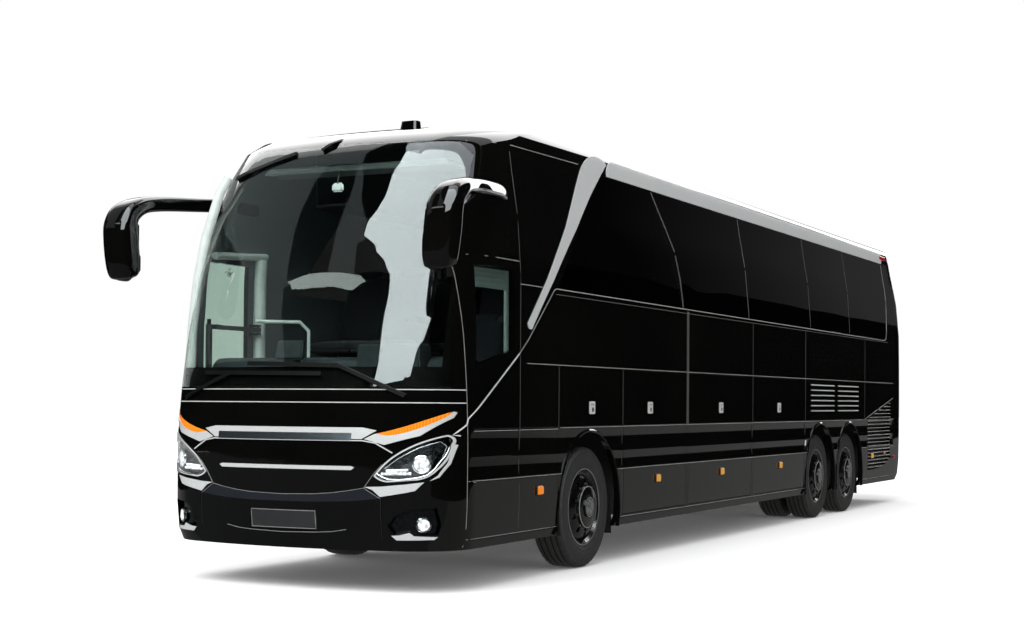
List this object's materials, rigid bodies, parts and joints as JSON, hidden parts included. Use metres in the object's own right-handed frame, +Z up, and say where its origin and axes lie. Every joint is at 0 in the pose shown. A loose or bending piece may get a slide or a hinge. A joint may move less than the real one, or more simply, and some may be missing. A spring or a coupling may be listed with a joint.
{
  "type": "three-axle touring coach",
  "caption": "High-deck touring coach with steered front wheels, twin drive wheels, a trailing axle, luggage flaps, passenger doors and a hollow glazed cabin.",
  "frame": {"origin": "on the ground under the middle of the whole coach, mirrors included", "axes": "+X to the coach's left, -Y to its front, +Z up"},
  "size_m": [3.0318, 14.16, 3.692],
  "materials": {
    "chassis": "satin",
    "body_paint": "gloss",
    "screen_glass": "gloss",
    "tinted_glass": "gloss",
    "floor_lining": "matte",
    "engine": "rough",
    "lamp_lens": "gloss",
    "red_lens": "gloss",
    "amber_lens": "gloss",
    "gloss_housing": "gloss",
    "black_trim": "satin",
    "silver_trim": "satin",
    "dash_plastic": "matte",
    "seat_cover": "woven",
    "flap_rubber": "matte",
    "wheel_paint": "satin",
    "tyre": "matte"
  },
  "bodies": {
    "coach": {"underframe": "chassis", "side_wall_left": "body_paint", "side_wall_right": "body_paint", "roof": "body_paint", "rear_wall": "body_paint", "front_panel": "body_paint", "front_bumper": "body_paint", "windscreen": "screen_glass", "side_glass": "tinted_glass", "rear_window": "tinted_glass", "cabin_floor": "floor_lining", "engine_block": "engine", "front_lamps": "lamp_lens", "rear_lamps": "red_lens", "indicators": "amber_lens", "mirrors": "gloss_housing", "wipers": "black_trim", "silver_trim": "silver_trim", "lamp_housings": "silver_trim", "luggage_racks": "dash_plastic", "roof_units": "body_paint", "dashboard": "dash_plastic", "steering_wheel": "dash_plastic", "seats": "seat_cover", "front_axle": "chassis", "rear_axles": "chassis", "mudflaps": "flap_rubber"},
    "knuckle_left": {"knuckle_left": "chassis"},
    "front_wheel_left": {"front_wheel_left": "wheel_paint", "front_tyre_left": "tyre"},
    "drive_wheel_left": {"drive_wheel_left": "wheel_paint", "drive_tyre_left": "tyre"},
    "tag_wheel_left": {"tag_wheel_left": "wheel_paint", "tag_tyre_left": "tyre"},
    "knuckle_right": {"knuckle_right": "chassis"},
    "front_wheel_right": {"front_wheel_right": "wheel_paint", "front_tyre_right": "tyre"},
    "drive_wheel_right": {"drive_wheel_right": "wheel_paint", "drive_tyre_right": "tyre"},
    "tag_wheel_right": {"tag_wheel_right": "wheel_paint", "tag_tyre_right": "tyre"},
    "flap_left_front": {"flap_left_front": "body_paint"},
    "flap_left_middle": {"flap_left_middle": "body_paint"},
    "flap_left_rear": {"flap_left_rear": "body_paint"},
    "flap_right_front": {"flap_right_front": "body_paint"},
    "flap_right_middle": {"flap_right_middle": "body_paint"},
    "flap_right_rear": {"flap_right_rear": "body_paint"},
    "engine_door": {"engine_door": "body_paint"},
    "front_door_arm": {"front_door_arm": "chassis"},
    "front_door": {"front_door": "body_paint", "front_door_glass": "tinted_glass"},
    "mid_door_arm": {"mid_door_arm": "chassis"},
    "mid_door": {"mid_door": "body_paint", "mid_door_glass": "tinted_glass"}
  },
  "joints": [
    {"name": "steer_left", "type": "hinge", "parent": "coach", "child": "knuckle_left", "pos_m": [0.86, -4.18, 0.51], "axis": [0, 0, 1], "range_deg": [-42, 42]},
    {"name": "steer_right", "type": "hinge", "parent": "coach", "child": "knuckle_right", "pos_m": [-0.86, -4.18, 0.51], "axis": [0, 0, 1], "range_deg": [-42, 42]},
    {"name": "front_wheel_spin_left", "type": "hinge", "parent": "knuckle_left", "child": "front_wheel_left", "pos_m": [1.09, -4.18, 0.505], "axis": [1, 0, 0], "continuous": true},
    {"name": "drive_wheel_spin_left", "type": "hinge", "parent": "coach", "child": "drive_wheel_left", "pos_m": [1.09, 2.78, 0.505], "axis": [1, 0, 0], "continuous": true},
    {"name": "tag_wheel_spin_left", "type": "hinge", "parent": "coach", "child": "tag_wheel_left", "pos_m": [1.09, 4.13, 0.505], "axis": [1, 0, 0], "continuous": true},
    {"name": "front_wheel_spin_right", "type": "hinge", "parent": "knuckle_right", "child": "front_wheel_right", "pos_m": [-1.09, -4.18, 0.505], "axis": [1, 0, 0], "continuous": true},
    {"name": "drive_wheel_spin_right", "type": "hinge", "parent": "coach", "child": "drive_wheel_right", "pos_m": [-1.09, 2.78, 0.505], "axis": [1, 0, 0], "continuous": true},
    {"name": "tag_wheel_spin_right", "type": "hinge", "parent": "coach", "child": "tag_wheel_right", "pos_m": [-1.09, 4.13, 0.505], "axis": [1, 0, 0], "continuous": true},
    {"name": "flap_left_front_lift", "type": "hinge", "parent": "coach", "child": "flap_left_front", "pos_m": [1.2525, -0.85, 1.646], "axis": [0, -1, 0], "range_deg": [0, 85]},
    {"name": "flap_left_middle_lift", "type": "hinge", "parent": "coach", "child": "flap_left_middle", "pos_m": [1.2525, -0.85, 1.646], "axis": [0, -1, 0], "range_deg": [0, 85]},
    {"name": "flap_left_rear_lift", "type": "hinge", "parent": "coach", "child": "flap_left_rear", "pos_m": [1.2525, -0.85, 1.646], "axis": [0, -1, 0], "range_deg": [0, 85]},
    {"name": "flap_right_front_lift", "type": "hinge", "parent": "coach", "child": "flap_right_front", "pos_m": [-1.2525, -0.85, 1.646], "axis": [0, 1, 0], "range_deg": [0, 85]},
    {"name": "flap_right_middle_lift", "type": "hinge", "parent": "coach", "child": "flap_right_middle", "pos_m": [-1.2525, -0.85, 1.646], "axis": [0, 1, 0], "range_deg": [0, 85]},
    {"name": "flap_right_rear_lift", "type": "hinge", "parent": "coach", "child": "flap_right_rear", "pos_m": [-1.2525, -0.85, 1.646], "axis": [0, 1, 0], "range_deg": [0, 85]},
    {"name": "engine_door_lift", "type": "hinge", "parent": "coach", "child": "engine_door", "pos_m": [0, 7.032, 1.76], "axis": [1, 0, 0], "range_deg": [0, 75]},
    {"name": "front_door_swing", "type": "hinge", "parent": "coach", "child": "front_door_arm", "pos_m": [-1.15, -6.19, 1.2], "axis": [0, 0, 1], "range_deg": [0, 85]},
    {"name": "front_door_level", "type": "hinge", "parent": "front_door_arm", "child": "front_door", "pos_m": [-1.15, -5.52, 1.2], "axis": [0, 0, 1], "range_deg": [-85, 0]},
    {"name": "mid_door_swing", "type": "hinge", "parent": "coach", "child": "mid_door_arm", "pos_m": [-1.15, -0.05, 1.2], "axis": [0, 0, 1], "range_deg": [0, 85]},
    {"name": "mid_door_level", "type": "hinge", "parent": "mid_door_arm", "child": "mid_door", "pos_m": [-1.15, 0.69, 1.2], "axis": [0, 0, 1], "range_deg": [-85, 0]}
  ],
  "couplings": [
    {"joint": "steer_right", "follows": "steer_left", "ratio": 1},
    {"joint": "front_door_level", "follows": "front_door_swing", "ratio": -1},
    {"joint": "mid_door_level", "follows": "mid_door_swing", "ratio": -1}
  ]
}
